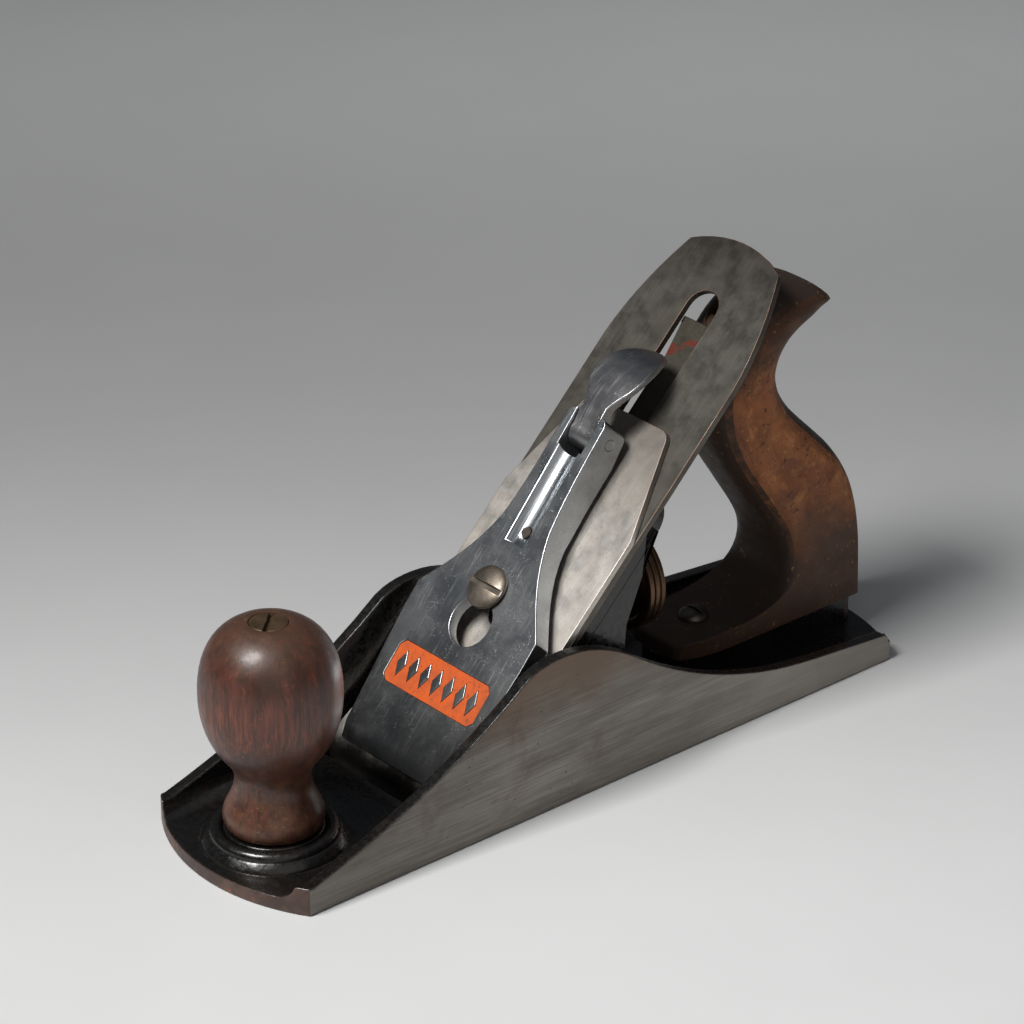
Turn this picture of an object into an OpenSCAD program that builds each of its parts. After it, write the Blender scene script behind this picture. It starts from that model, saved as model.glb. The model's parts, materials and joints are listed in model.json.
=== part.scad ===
// Bench hand plane, iron-bodied smoothing pattern, millimetres, +Z up.
// Origin: centre of the sole's underside. The toe points to -Y and the heel to +Y.
// The cutting iron lies on a bed at 45 degrees: "bed" coordinates are (x, v, w), with v up
// the slope from the mouth and w square to it, out of the iron's upper face.

/* [Body casting] */
// Length of the sole over both bowed ends
sole_l = 225.4; // [220:0.2:260]
// Width of the sole
sole_w = 63.5; // [62:0.5:66]
// Thickness of the sole plate
sole_t = 4; // [3.5:0.1:5]
// How far the toe's curve stands out in front of its corners
toe_bow = 9.6; // [6:0.2:12]
// How far the heel's curve stands out behind its corners
heel_bow = 7.8; // [6:0.2:12]
// Height of the cheeks at the hump
cheek_h = 44.8; // [42:0.2:50]
// Thickness of the cheeks
cheek_t = 3.6; // [3:0.1:5]

/* [Iron and cap iron] */
// Width of the cutting iron
iron_w = 50.8; // [48:0.2:51]
// Length of the cutting iron
iron_l = 178; // [170:1:185]
// Thickness of the cutting iron
iron_t = 1.95; // [1.8:0.05:2.2]
// Length of the cap iron
cap_iron_l = 121.5; // [118:0.5:124]

/* [Lever cap] */
// Length of the lever cap
lever_cap_l = 107.3; // [105:0.1:108]
// Width of the lever cap at its shoulders
lever_cap_w = 48.2; // [46:0.2:49]

/* [Handles] */
// Diameter of the knob's ball
knob_d = 37.6; // [34:0.2:42]
// Height of the knob
knob_h = 59.6; // [56:0.2:64]
// Thickness of the tote
tote_t = 26; // [20:0.5:28]

/* [Adjuster] */
// Diameter of the depth wheel
wheel_d = 30.6; // [28:0.2:32]
// Width of the depth wheel's rim
wheel_rim_w = 6; // [5:0.5:7]

/* [Hidden] */
$fn = 64;
big = 200;
fit = 0.05;                       // clearance of a running fit
corner_toe = -sole_l / 2 + toe_bow;
corner_heel = sole_l / 2 - heel_bow;
pocket_w = sole_w - 2 * cheek_t;

// mouth and bed
bed_y = -49.5;                    // where the bed's plane meets the sole
mouth_front = -55.6;
mouth_w = 52.6;
land_z = 7.5;                     // top of the casting's frog seat

// frog
frog_z = land_z + 0.1;
frog_w = 46;
frog_plate_t = 6;
frog_top_v = 106;
frog_base_t = 4.4;
frog_base_y = bed_y + frog_z + frog_base_t + 1;
rib_t = 4;
frog_screw_x = 13;
frog_screw_y = -13;
frog_screw_r = 2.6;
frog_screw_z = 9.6;               // height of the fore-and-aft screw's axis
clip_y = 12;                      // front face of the frog clip

// depth adjustment
stud_z = 40;
stud_r = 3.5;
stud_y = 3.5;                     // front end of the stud, inside the frog's boss
groove_y = [19.8, 25];            // the wheel's groove for the yoke
wheel_core_r = 6.2;
wheel_flange_r = 8.2;
rim_y = 27.9;
yoke_v = 82.3;                    // yoke pin in bed coordinates
yoke_w = -8.8;
yoke_y = bed_y + (yoke_v - yoke_w) / sqrt(2);
tongue_v = 80;
prong_t = 2.4;
prong_x = [6.7, 9.2];

// lateral adjustment
lateral_pivot_v = 102;
roller_v = 93;
roller_r = 3.7;
lateral_end_v = 152;

// iron and cap iron
iron_edge_v = -1.7;
iron_end_v = iron_edge_v + iron_l;
slot_r = 5.5;
slot_end_v = 155;
bevel_l = iron_t / tan(25);
cap_iron_t = 1.9;
cap_iron_w0 = iron_t + 2 * fit;   // underside of the cap iron
cap_iron_edge_v = 0;
cap_iron_screw_v = 42;

// lever cap
lever_cap_edge_v = 6.6;
lever_cap_end_v = lever_cap_edge_v + lever_cap_l;
lever_cap_rise = 0.077;           // slope of its top face against the bed
lever_cap_screw_v = 60;
keyhole_v = 50;
lever_cap_plate = 3.7;            // thickness of its top over the hollow
rivet_v = 78;
panel_v = [25.4, 37.6];
panel_x = 18.3;
cam_v = 109;
cam_w = 11.6;
cam_r = 4.3;
cam_slot_x = 4.6;
cam_sweep_r = 7.7;                // room for the root of the cam lever as it swings
cam_end = [138.4, 6.2];            // tip of the cam lever's paddle

// knob and tote
knob_y = -89.8;
knob_z = 8.2;
knob_nut_r = 5.1;
tote_z = 11.8;
tote_rear = 111;
tote_bolt_y = 96;
tote_bolt_lean = 16.2;            // forward lean of the tote's rod from the vertical
tote_screw_y = 58.3;

function lever_top(v) = 9.2 + lever_cap_rise * (v - 10.1);

// Points of a cubic curve, both ends included
function curve(a, b, c, d, n = 10) = [for (i = [0:n]) let (t = i / n, s = 1 - t)
    s * s * s * a + 3 * s * s * t * b + 3 * s * t * t * c + t * t * t * d];

// Points of an arc
function arc(centre, r, from, to, n = 8) = [for (i = [0:n])
    centre + r * [cos(from + (to - from) * i / n), sin(from + (to - from) * i / n)]];

// Puts its children into bed coordinates
module on_bed() {
    translate([0, bed_y, 0]) rotate([45, 0, 0]) children();
}

// Extrudes a side outline, drawn as (y, z) or (v, w), across the plane's width
module across(width) {
    rotate([90, 0, 90]) linear_extrude(width, center = true) children();
}

// Slot with round ends along the second axis
module slot_2d(r, from, to) {
    translate([-r, from]) square([2 * r, to - from]);
    translate([0, from]) circle(r);
    translate([0, to]) circle(r);
}

// ---------------------------------------------------------------- body casting

module sole_outline() {
    half = sole_w / 2;
    toe_r = (half * half + toe_bow * toe_bow) / (2 * toe_bow);
    heel_r = (half * half + heel_bow * heel_bow) / (2 * heel_bow);
    translate([-half, corner_toe]) square([sole_w, corner_heel - corner_toe]);
    intersection() {
        translate([-half, corner_toe - 2 * toe_bow]) square([sole_w, 2 * toe_bow + 1]);
        translate([0, toe_r - sole_l / 2]) circle(toe_r, $fn = 128);
    }
    intersection() {
        translate([-half, corner_heel - 1]) square([sole_w, 2 * heel_bow + 1]);
        translate([0, sole_l / 2 - heel_r]) circle(heel_r, $fn = 128);
    }
}

// Side outline of the cheeks: low at the toe, a hump over the mouth, low at the heel
module cheek_outline() {
    hump = [-17, cheek_h];
    toe = [corner_toe + 1.5, 8];
    heel = [corner_heel - 3.2, 8.6];
    heel_round = 2.6;
    polygon(concat(
        [[-sole_l / 2, 0], [-sole_l / 2, toe[1]], toe],
        curve(toe, [-80, 14.5], [-55, 23.5], [-30, cheek_h - 2.8]),
        curve([-30, cheek_h - 2.8], [-26, cheek_h - 0.6], [-22, cheek_h], hump, 5),
        curve(hump, [-9, cheek_h], [0, cheek_h - 3.3], [9.4, cheek_h - 10.2], 8),
        curve([9.4, cheek_h - 10.2], [20, 27.5], [33, 20], [51.8, 15]),
        curve([51.8, 15], [66, 11], [82, 10.5], heel),
        arc(heel - [0, heel_round], heel_round, 80, 0, 6),
        [[sole_l / 2, heel[1] - heel_round], [sole_l / 2, 0]]));
}

// Cross-section of the hollow between the cheeks, with coved corners
module pocket_section() {
    cove = 5;
    half = pocket_w / 2;
    translate([-half + cove, sole_t]) square([2 * (half - cove), 60]);
    translate([-half, sole_t + cove]) square([2 * half, 60]);
    for (side = [-1, 1]) translate([side * (half - cove), sole_t + cove]) circle(cove);
}

module knob_boss() {
    bead_r = 15.4;
    translate([0, knob_y, 0]) rotate_extrude() {
        polygon([[0, 1], [19.5, 1], [19.5, 4.4], [17.6, 6.6], [0, 6.6]]);
        square([13.4, knob_z - 0.05]);
        translate([bead_r, 6.6]) circle(1.9);
    }
}

module tote_pad() {
    nose_y = 54;
    translate([0, 0, 1]) linear_extrude(tote_z - 1.05) {
        translate([-11, nose_y]) square([22, tote_rear - nose_y - 4]);
        translate([-7, tote_rear - 8]) square([14, 8]);
        for (side = [-1, 1]) translate([side * 7, tote_rear - 4]) circle(4);
        translate([0, nose_y]) circle(11);
    }
}

module frog_seat() {
    across(2 * 24.5) polygon([[-52, 0], [-52, land_z], [-28, land_z], [-28, 2], [-52, 0]]);
    for (side = [-1, 1]) {
        translate([side * frog_screw_x - 8, -29, 1]) cube([16, 38, land_z - 1]);
    }
    translate([-4.4, -6, 1]) cube([8.8, 7, 11.6]);
}

module mouth_front_bar() {
    across(pocket_w + 2) polygon([[-72, 1], [-72, sole_t], [-64, 6.4], [-55, 6.4], [-55, 1]]);
}

module mouth_cut() {
    gap = 0.3;
    across(mouth_w) polygon([[mouth_front, -1], [mouth_front, 10], [bed_y + 10 + gap, 10],
        [bed_y - 1 + gap, -1]]);
}

module body_casting() color("dimgray") difference() {
    union() {
        difference() {
            intersection() {
                linear_extrude(60) sole_outline();
                across(sole_w) cheek_outline();
            }
            rotate([90, 0, 0]) linear_extrude(2 * big, center = true) pocket_section();
        }
        intersection() {
            union() {
                knob_boss();
                tote_pad();
                frog_seat();
                mouth_front_bar();
            }
            linear_extrude(60) sole_outline();
        }
    }
    mouth_cut();
    translate([0, knob_y, 2]) cylinder(h = 20, r = 2.9);
    for (side = [-1, 1]) {
        translate([side * frog_screw_x, frog_screw_y, 2]) cylinder(h = 20, r = frog_screw_r + fit);
    }
    translate([0, -8, frog_screw_z]) rotate([-90, 0, 0]) cylinder(h = 12, r = 2.4 + fit);
    tote_rod_axis() translate([0, 0, -12]) cylinder(h = 14, r = 2.7 + fit);
    translate([0, tote_screw_y, 3]) cylinder(h = 12, r = 1.8 + fit);
}

// ---------------------------------------------------------------- frog

module frog_plate_outline() {
    top_r = 9;
    half = frog_w / 2;
    translate([-half, 0]) square([frog_w, frog_top_v - top_r]);
    translate([-half + top_r, 0]) square([frog_w - 2 * top_r, frog_top_v]);
    for (side = [-1, 1]) translate([side * (half - top_r), frog_top_v - top_r]) circle(top_r);
}

module frog_rib_outline() {
    polygon([[bed_y + frog_z + 7, frog_z], [9, frog_z], [11, 22], [12.5, 40], [18, 53],
        [24.2, 66]]);
}

// Shallow recess that the lateral lever swings in, wider at its roller
module lateral_recess() {
    low = lateral_pivot_v - 14.5;
    translate([0, 0, -2.8]) linear_extrude(10) polygon([[-7.9, low], [7.9, low],
        [6.4, lateral_pivot_v], [6.4, lateral_pivot_v + 16], [-6.4, lateral_pivot_v + 16],
        [-6.4, lateral_pivot_v]]);
}

module frog() color("darkslategray") difference() {
    union() {
        on_bed() translate([0, 0, -frog_plate_t]) linear_extrude(frog_plate_t - fit)
            frog_plate_outline();
        translate([-frog_w / 2, frog_base_y, frog_z])
            cube([frog_w, 11 - frog_base_y, frog_base_t]);
        for (side = [-1, 1]) translate([side * (frog_w - rib_t) / 2, 0, 0])
            across(rib_t) frog_rib_outline();
        // bosses for the lever cap screw, the depth stud and the yoke pin
        on_bed() translate([0, lever_cap_screw_v, -17]) cylinder(h = 16, r = 6.5);
        difference() {
            translate([0, -7, stud_z]) rotate([-90, 0, 0]) cylinder(h = 20, r = 7);
            on_bed() translate([-10, 0, -1]) cube([20, 120, 40]);
        }
        for (side = [-1, 1]) on_bed() translate([side * 8.9, yoke_v, yoke_w]) {
            rotate([0, 90, 0]) cylinder(h = 3.2, r = 4, center = true);
            translate([-1.6, -4, 0]) cube([3.2, 8, 5]);
        }
        // rear wall that carries the clip
        translate([-9, 4, frog_z]) cube([18, 7.9, 15]);
    }
    translate([-big / 2, -big / 2, frog_z - big]) cube([big, big, big]);
    // channel for the cap iron screw's head, and the yoke's window
    on_bed() translate([-10.5, 30, -12]) cube([21, 22, 20]);
    on_bed() translate([-6.9, 75, -8]) cube([13.8, 13, 20]);
    on_bed() lateral_recess();
    on_bed() translate([0, lever_cap_screw_v, -20]) cylinder(h = 30, r = 2.9 + fit);
    on_bed() translate([0, lateral_pivot_v, -12]) cylinder(h = 20, r = 1.8 + fit);
    on_bed() translate([0, yoke_v, yoke_w]) rotate([0, 90, 0])
        cylinder(h = 30, r = 1.6 + fit, center = true);
    translate([0, stud_y - 0.2, stud_z]) rotate([-90, 0, 0]) cylinder(h = 30, r = stud_r + fit);
    // slots and driver holes for the frog screws
    for (side = [-1, 1]) translate([side * frog_screw_x, frog_screw_y, 0]) {
        linear_extrude(20) slot_2d(frog_screw_r + 0.6, -2, 4);
        translate([0, 0, frog_z + frog_base_t]) linear_extrude(60) slot_2d(6.2, 0, 2);
    }
    // channel for the fore-and-aft screw and the casting's lug
    translate([-5, -12, 0]) cube([10, 30, 14]);
    translate([0, 2, frog_z + 10.6]) rotate([-90, 0, 0]) cylinder(h = 12, r = 1.5 + fit);
}

module frog_screws() color("saddlebrown") for (side = [-1, 1]) {
    translate([side * frog_screw_x, frog_screw_y, 0]) difference() {
        union() {
            translate([0, 0, 2.5]) cylinder(h = 12, r = frog_screw_r);
            translate([0, 0, 13.5]) cylinder(h = 3.4, r = 5);
        }
        translate([-6, -0.6, 15.4]) cube([12, 1.2, 4]);
    }
}

module frog_washers() color("peru") for (side = [-1, 1]) {
    translate([side * frog_screw_x, frog_screw_y, frog_z + frog_base_t + 0.1]) difference() {
        cylinder(h = 1.3, r = 5.6);
        translate([0, 0, -1]) cylinder(h = 4, r = frog_screw_r + 0.1);
    }
}

module frog_adjusting_screw() color("saddlebrown") difference() {
    translate([0, 0, frog_screw_z]) rotate([-90, 0, 0]) {
        translate([0, 0, -7]) cylinder(h = clip_y + 9, r = 2.4);
        translate([0, 0, clip_y - 1.9]) cylinder(h = 1.7, r = 3.6);
        translate([0, 0, clip_y + 1.7]) cylinder(h = 5, r = 4.2);
    }
    translate([-5, clip_y + 5.2, frog_screw_z - 0.6]) cube([10, 3, 1.2]);
}

module frog_clip() color("darkgoldenrod") difference() {
    translate([-6, clip_y, 5.2]) cube([12, 1.5, 17]);
    translate([0, clip_y - 1, frog_screw_z]) rotate([-90, 0, 0]) cylinder(h = 4, r = 2.5);
    translate([-2.5, clip_y - 1, 0]) cube([5, 4, frog_screw_z]);
    translate([0, clip_y - 1, frog_z + 10.6]) rotate([-90, 0, 0]) cylinder(h = 4, r = 1.6);
}

module frog_clip_screw() color("goldenrod") difference() {
    translate([0, 0, frog_z + 10.6]) rotate([-90, 0, 0]) {
        translate([0, 0, 4]) cylinder(h = 9.6, r = 1.5);
        translate([0, 0, clip_y + 1.55]) cylinder(h = 1.6, r = 3.1);
    }
    translate([-4, clip_y + 2.5, frog_z + 10.2]) cube([8, 3, 0.8]);
}

// ---------------------------------------------------------------- depth adjustment

module adjuster_stud() color("slategray") {
    translate([0, stud_y, stud_z]) rotate([-90, 0, 0]) cylinder(h = 37.5, r = stud_r);
}

module adjuster_wheel() color("darkgoldenrod") {
    r = wheel_d / 2;
    ridge = wheel_rim_w / 3;
    front = groove_y[0] - 1.8;
    translate([0, 0, stud_z]) rotate([-90, 0, 0]) rotate_extrude() difference() {
        polygon(concat(
            [[stud_r + fit, front], [wheel_flange_r, front], [wheel_flange_r, groove_y[0]],
             [wheel_core_r, groove_y[0]], [wheel_core_r, groove_y[1]],
             [wheel_flange_r, groove_y[1]], [wheel_flange_r, rim_y + 0.8], [r - 3.4, rim_y + 0.8],
             [r - 2.4, rim_y]],
            [for (i = [0:2]) for (p = [[-0.9, 0], [0, 0.35], [0, ridge - 0.35], [-0.9, ridge]])
                [r + p[0], rim_y + i * ridge + p[1]]],
            [[r - 2.4, rim_y + wheel_rim_w], [r - 3.4, rim_y + wheel_rim_w - 1.4],
             [7.4, rim_y + wheel_rim_w - 1.4], [6.6, rim_y + wheel_rim_w + 0.6],
             [stud_r + fit, rim_y + wheel_rim_w + 0.6]]));
    }
}

module yoke_lever() color("dimgray") difference() {
    union() {
        on_bed() translate([0, yoke_v, yoke_w]) rotate([0, 90, 0])
            cylinder(h = 12.4, r = 3.6, center = true);
        on_bed() translate([-4, tongue_v - 1.5, yoke_w]) cube([8, 3, 3.6 - yoke_w]);
        // arm over the wheel's front flange, with one prong down each side of its core
        translate([-6.2, yoke_y, 50.2]) cube([12.4, 9, 3.8]);
        translate([-prong_x[1], 22.4 - prong_t / 2, 49.6]) cube([2 * prong_x[1], prong_t, 4.4]);
        for (side = [-1, 1]) {
            translate([side * (prong_x[0] + prong_x[1]) / 2, 22.4, 45])
                cube([prong_x[1] - prong_x[0], prong_t, 17], center = true);
        }
    }
    on_bed() translate([0, yoke_v, yoke_w]) rotate([0, 90, 0])
        cylinder(h = 30, r = 1.6 + fit, center = true);
}

module yoke_pin() color("slategray") {
    on_bed() translate([0, yoke_v, yoke_w]) rotate([0, 90, 0])
        cylinder(h = 21, r = 1.6, center = true);
}

// ---------------------------------------------------------------- lateral adjustment

module lateral_lever() color("dimgray") on_bed() difference() {
    union() {
        translate([0, 0, -2.6]) linear_extrude(2.1) {
            slot_2d(4.4, roller_v, lateral_pivot_v);
            polygon([[-4.4, lateral_pivot_v], [4.4, lateral_pivot_v],
                [4.2, lateral_end_v - 12], [6, lateral_end_v], [-6, lateral_end_v],
                [-4.2, lateral_end_v - 12]]);
        }
        // thumb tab, folded down behind the iron
        translate([-6, lateral_end_v - 2, -6]) cube([12, 2, 5.5]);
    }
    translate([0, lateral_pivot_v, -5]) cylinder(h = 8, r = 1.8 + fit);
    translate([0, roller_v, -5]) cylinder(h = 8, r = 1.3);
}

module lateral_roller() color("slategray") on_bed() translate([0, roller_v, 0]) {
    translate([0, 0, -0.4]) cylinder(h = 2.2, r = roller_r);
    translate([0, 0, -2.6]) cylinder(h = 2.4, r = 1.25);
}

module lateral_rivet() color("slategray") on_bed() translate([0, lateral_pivot_v, 0]) {
    translate([0, 0, -7.4]) cylinder(h = 7.2, r = 1.8);
    translate([0, 0, -0.42]) cylinder(h = 0.4, r = 3.2);
    translate([0, 0, -7.4]) cylinder(h = 1.35, r = 3);
}

// ---------------------------------------------------------------- iron and cap iron

module iron_outline() {
    half = iron_w / 2;
    taper_v = 138;
    ear_v = iron_end_v - 4.3;
    ear = 17.2;
    crown_r = (ear * ear + 4.3 * 4.3) / (2 * 4.3);
    difference() {
        polygon(concat([[-half, iron_edge_v], [half, iron_edge_v]],
            curve([half, taper_v], [half - 0.4, taper_v + 12], [ear + 4, ear_v - 9], [ear, ear_v], 8),
            arc([0, iron_end_v - crown_r], crown_r, asin((crown_r - 4.3) / crown_r),
                180 - asin((crown_r - 4.3) / crown_r), 10),
            curve([-ear, ear_v], [-ear - 4, ear_v - 9], [-half + 0.4, taper_v + 12],
                [-half, taper_v], 8)));
        slot_2d(slot_r, 24, slot_end_v);
        translate([0, 23]) circle(9.6);
    }
}

module iron() color("dimgray") on_bed() difference() {
    translate([0, 0, fit]) linear_extrude(iron_t) iron_outline();
    across(2 * iron_w) polygon([[iron_edge_v - 1, fit + iron_t], [iron_edge_v, fit + iron_t],
        [iron_edge_v + bevel_l, fit], [iron_edge_v + bevel_l, -1], [iron_edge_v - 1, -1]]);
}

module cap_iron_outline() {
    half = iron_w / 2 - 0.1;
    taper_v = 89.5;
    ear = 16.6;
    corner = 4;
    difference() {
        polygon(concat([[-half, -5], [half, -5], [half, taper_v]],
            arc([ear - corner + 0.4, cap_iron_l - corner - 1], corner, 16, 80),
            arc([-ear + corner - 0.4, cap_iron_l - corner - 1], corner, 100, 164),
            [[-half, taper_v]]));
        slot_2d(4.2, 57, 66);
        translate([-5, tongue_v - 2.2]) square([10, 4.4]);
        translate([0, cap_iron_screw_v]) circle(2.6 + fit);
    }
}

// Side outline: it meets the iron near the edge, humps up and lies flat from there on
module cap_iron_section() {
    low = cap_iron_w0;
    high = low + cap_iron_t;
    crest = 7.1;
    polygon(concat(
        curve([cap_iron_edge_v, low], [1.6, 5], [4, crest], [8.4, crest], 8),
        curve([8.4, crest], [14, crest], [20, high], [31, high], 10),
        [[cap_iron_l, high], [cap_iron_l, low]],
        curve([31, low], [20, low], [14, crest - cap_iron_t], [8.4, crest - cap_iron_t], 10),
        curve([8.4, crest - cap_iron_t], [5, crest - cap_iron_t], [3, 3.4], [1.2, low], 6)));
}

module cap_iron() color("darkgray") on_bed() intersection() {
    linear_extrude(12) cap_iron_outline();
    across(2 * iron_w) cap_iron_section();
}

module cap_iron_screw() color("saddlebrown") on_bed() translate([0, cap_iron_screw_v, 0]) {
    difference() {
        union() {
            translate([0, 0, -1]) cylinder(h = cap_iron_w0 + cap_iron_t + 0.9, r = 2.6);
            translate([0, 0, -3]) cylinder(h = 3, r = 8.4);
        }
        translate([-10, -0.8, -4]) cube([20, 1.6, 2.4]);
    }
}

// ---------------------------------------------------------------- lever cap

function lever_cap_side(inset = 0) = let (half = lever_cap_w / 2 - inset, top = 7.5 - inset)
    concat([[half - 2.5, lever_cap_edge_v], [half, 44], [half, 53.2]],
        curve([half, 53.2], [half - 6.4, 61.6], [half - 11.5, 68], [9.4 - inset, 79], 8),
        curve([9.4 - inset, 79], [8.4 - inset, 84], [top, 92], [top, lever_cap_end_v - 2.5], 6),
        arc([top - 2.5, lever_cap_end_v - 2.5], 2.5, 0, 90, 4));

module lever_cap_outline(inset = 0) {
    side = lever_cap_side(inset);
    last = len(side) - 1;
    polygon(concat(side, [for (i = [last:-1:0]) [-side[i][0], side[i][1]]]));
}

module lever_cap_section() {
    skirt = 6.5;
    neck_skirt = 5.5;
    nose_v = 11;
    polygon([[lever_cap_edge_v, 7.35], [lever_cap_edge_v, 7.6], [nose_v, lever_top(nose_v)],
        [lever_cap_end_v, lever_top(lever_cap_end_v)], [lever_cap_end_v, 7.6],
        [104, neck_skirt], [84, neck_skirt], [74, skirt], [46, skirt], [38, 7.35]]);
}

// The hollow underneath, which leaves a plate with a skirt along its sides
module lever_cap_hollow() {
    intersection() {
        linear_extrude(30) intersection() {
            lever_cap_outline(3);
            translate([-big / 2, 26]) square([big, 76]);
        }
        across(lever_cap_w) polygon([[20, 0], [20, lever_top(20) - lever_cap_plate],
            [103, lever_top(103) - lever_cap_plate], [103, 0]]);
    }
}

module panel_outline(grow = 0) {
    x = panel_x + grow;
    low = panel_v[0] - grow;
    high = panel_v[1] + grow;
    cut = 1.6;
    polygon([[-x + cut, low], [x - cut, low], [x, low + cut], [x, high - cut], [x - cut, high],
        [-x + cut, high], [-x, high - cut], [-x, low + cut]]);
}

// Puts its children on the lever cap's sloping top face, z = 0 at the surface
module on_lever_top() {
    translate([0, 10.1, 9.2]) rotate([atan(lever_cap_rise), 0, 0]) translate([0, -10.1, 0])
        children();
}

// Plain raised lozenges that fill the panel
module panel_lozenges(grow = 0) {
    count = 7;
    pitch = 2 * (panel_x - 1.5) / count;
    mid = (panel_v[0] + panel_v[1]) / 2;
    for (i = [0:count - 1]) translate([(i - (count - 1) / 2) * pitch, mid]) {
        half = [pitch * 0.36 + grow, 4 + 2 * grow];
        polygon([[-half[0], 0], [0, -half[1]], [half[0], 0], [0, half[1]]]);
    }
}

module lever_cap() color("silver") on_bed() {
    difference() {
        intersection() {
            linear_extrude(30) lever_cap_outline();
            across(lever_cap_w + 2) lever_cap_section();
        }
        lever_cap_hollow();
        on_lever_top() translate([0, 0, -1]) linear_extrude(3) difference() {
            panel_outline();
            panel_lozenges();
        }
        // keyhole for the lever cap screw
        translate([0, keyhole_v, 0]) cylinder(h = 30, r = 7);
        linear_extrude(30) slot_2d(3.5, keyhole_v, lever_cap_screw_v);
        // thumb groove down the neck, and the cam lever's slot at its end
        on_lever_top() translate([0, 0, 2.2]) rotate([-90, 0, 0]) translate([0, 0, 74])
            cylinder(h = 40, r = 4.4);
        translate([-cam_slot_x, cam_v - cam_r - 0.4, 0]) cube([2 * cam_slot_x, 20, 30]);
        translate([0, cam_v, cam_w]) rotate([0, 90, 0])
            cylinder(h = 2 * cam_slot_x, r = cam_sweep_r, center = true);
        translate([0, cam_v, cam_w]) rotate([0, 90, 0])
            cylinder(h = 30, r = 1.5 + fit, center = true);
        translate([0, rivet_v, 0]) cylinder(h = lever_top(rivet_v) - 1.5, r = 1.5 + fit);
    }
}

module lever_cap_panel() color("orangered") on_bed() on_lever_top() translate([0, 0, -1 + fit])
    linear_extrude(0.7) difference() {
        panel_outline(-fit);
        panel_lozenges(fit);
    }

module lever_cap_screw() color("tan") on_bed() translate([0, lever_cap_screw_v, 0]) {
    head_w = lever_top(lever_cap_screw_v) + 0.55;
    difference() {
        union() {
            translate([0, 0, -11]) cylinder(h = head_w + 12, r = 2.9);
            translate([0, 0, head_w]) rotate_extrude()
                polygon(concat([[0, 0], [6.2, 0], [6.2, 1]], curve([6.2, 1], [5.4, 2], [3, 2.5],
                    [0, 2.6], 5)));
        }
        translate([-8, -0.7, head_w + 1.2]) cube([16, 1.4, 4]);
    }
}

module leaf_spring() color("slategray") on_bed() {
    thick = 0.8;
    low = cap_iron_w0 + cap_iron_t + 0.15;
    start_w = lever_top(74) - lever_cap_plate - fit - thick;
    path = concat([[74, start_w]], curve([83, start_w], [94, start_w - 0.6], [98, low],
        [105, low], 8), [[112, low + 0.05]]);
    last = len(path) - 1;
    difference() {
        across(8.6) polygon(concat(path, [for (i = [last:-1:0]) path[i] + [0, thick]]));
        translate([0, rivet_v, 0]) cylinder(h = 20, r = 1.5 + fit);
    }
}

module spring_rivet() color("slategray") on_bed() translate([0, rivet_v, 0]) {
    head_w = lever_top(rivet_v) - lever_cap_plate - 2;
    translate([0, 0, head_w]) cylinder(h = 0.7, r = 2.6);
    translate([0, 0, head_w]) cylinder(h = 4, r = 1.5);
}

// Thumb paddle in plan: it widens from the hub to a round end
module cam_paddle_outline() {
    root = cam_slot_x - 0.2;
    wide = 8.8;
    side = concat([[root, cam_v], [root, 116.5]],
        curve([root, 116.5], [5.2, 119.5], [wide, 122.5], [wide, 128], 8),
        curve([wide, 128], [wide, 133], [5.4, cam_end[0]], [0, cam_end[0]], 8));
    last = len(side) - 1;
    polygon(concat(side, [for (i = [last:-1:0]) [-side[i][0], side[i][1]]]));
}

module cam_lever() color("lightgray") on_bed() difference() {
    lobe_w = 5.25;
    width = 2 * cam_slot_x - 0.4;
    union() {
        translate([0, cam_v, cam_w]) rotate([0, 90, 0]) cylinder(h = width, r = cam_r, center = true);
        translate([0, cam_v, lobe_w + 2.2]) rotate([0, 90, 0])
            cylinder(h = width, r = 2.2, center = true);
        intersection() {
            // side view: up from the hub, then curling down towards the iron
            across(20) polygon(concat([[cam_v, cam_w - 2], [cam_v, cam_w + cam_r]],
                curve([cam_v + 1, cam_w + cam_r], [120, 18.6], [134, 16.2], cam_end, 14),
                curve(cam_end - [1, 0.4], [132.4, 14], [121, 16.2], [114.5, 13.2], 14)));
            linear_extrude(30) cam_paddle_outline();
        }
    }
    translate([0, cam_v, cam_w]) rotate([0, 90, 0]) cylinder(h = 30, r = 1.5 + fit, center = true);
}

module cam_pin() color("slategray") on_bed() translate([0, cam_v, cam_w]) rotate([0, 90, 0])
    cylinder(h = 14.9, r = 1.5, center = true);

// ---------------------------------------------------------------- knob

module knob() color("saddlebrown") translate([0, knob_y, knob_z]) difference() {
    r = knob_d / 2;
    top = [knob_nut_r + 0.2, knob_h - 0.1];
    rotate_extrude($fn = 96) polygon(concat(
        [[0, 0]],
        curve([11.4, 0], [13, 0.2], [13.9, 3], [13.1, 5.4], 6),
        curve([13.1, 5.4], [12.4, 7.6], [10, 10.5], [10, 14.6], 6),
        curve([10, 14.6], [10, 19], [13.2, 20.6], [15.6, 25.2], 7),
        curve([15.6, 25.2], [17.6, 29], [r, 34], [r, 39.2], 7),
        curve([r, 39.2], [r, 50.6], [14.6, 57.6], top, 12),
        [[0, knob_h - 0.1]]));
    translate([0, 0, -1]) cylinder(h = knob_h + 2, r = 2.9);
    translate([0, 0, knob_h - 7]) cylinder(h = 8, r = knob_nut_r + fit);
}

module knob_bolt() color("slategray") {
    translate([0, knob_y, 2.5]) cylinder(h = knob_z + knob_h - 8, r = 2.75);
}

module knob_nut() color("saddlebrown") translate([0, knob_y, knob_z + knob_h - 6.9]) rotate(-48) {
    difference() {
        cylinder(h = 6.7, r = knob_nut_r);
        translate([0, 0, -1]) cylinder(h = 5, r = 2.8);
        translate([-7, -0.7, 5.3]) cube([14, 1.4, 3]);
    }
}

// ---------------------------------------------------------------- tote

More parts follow.
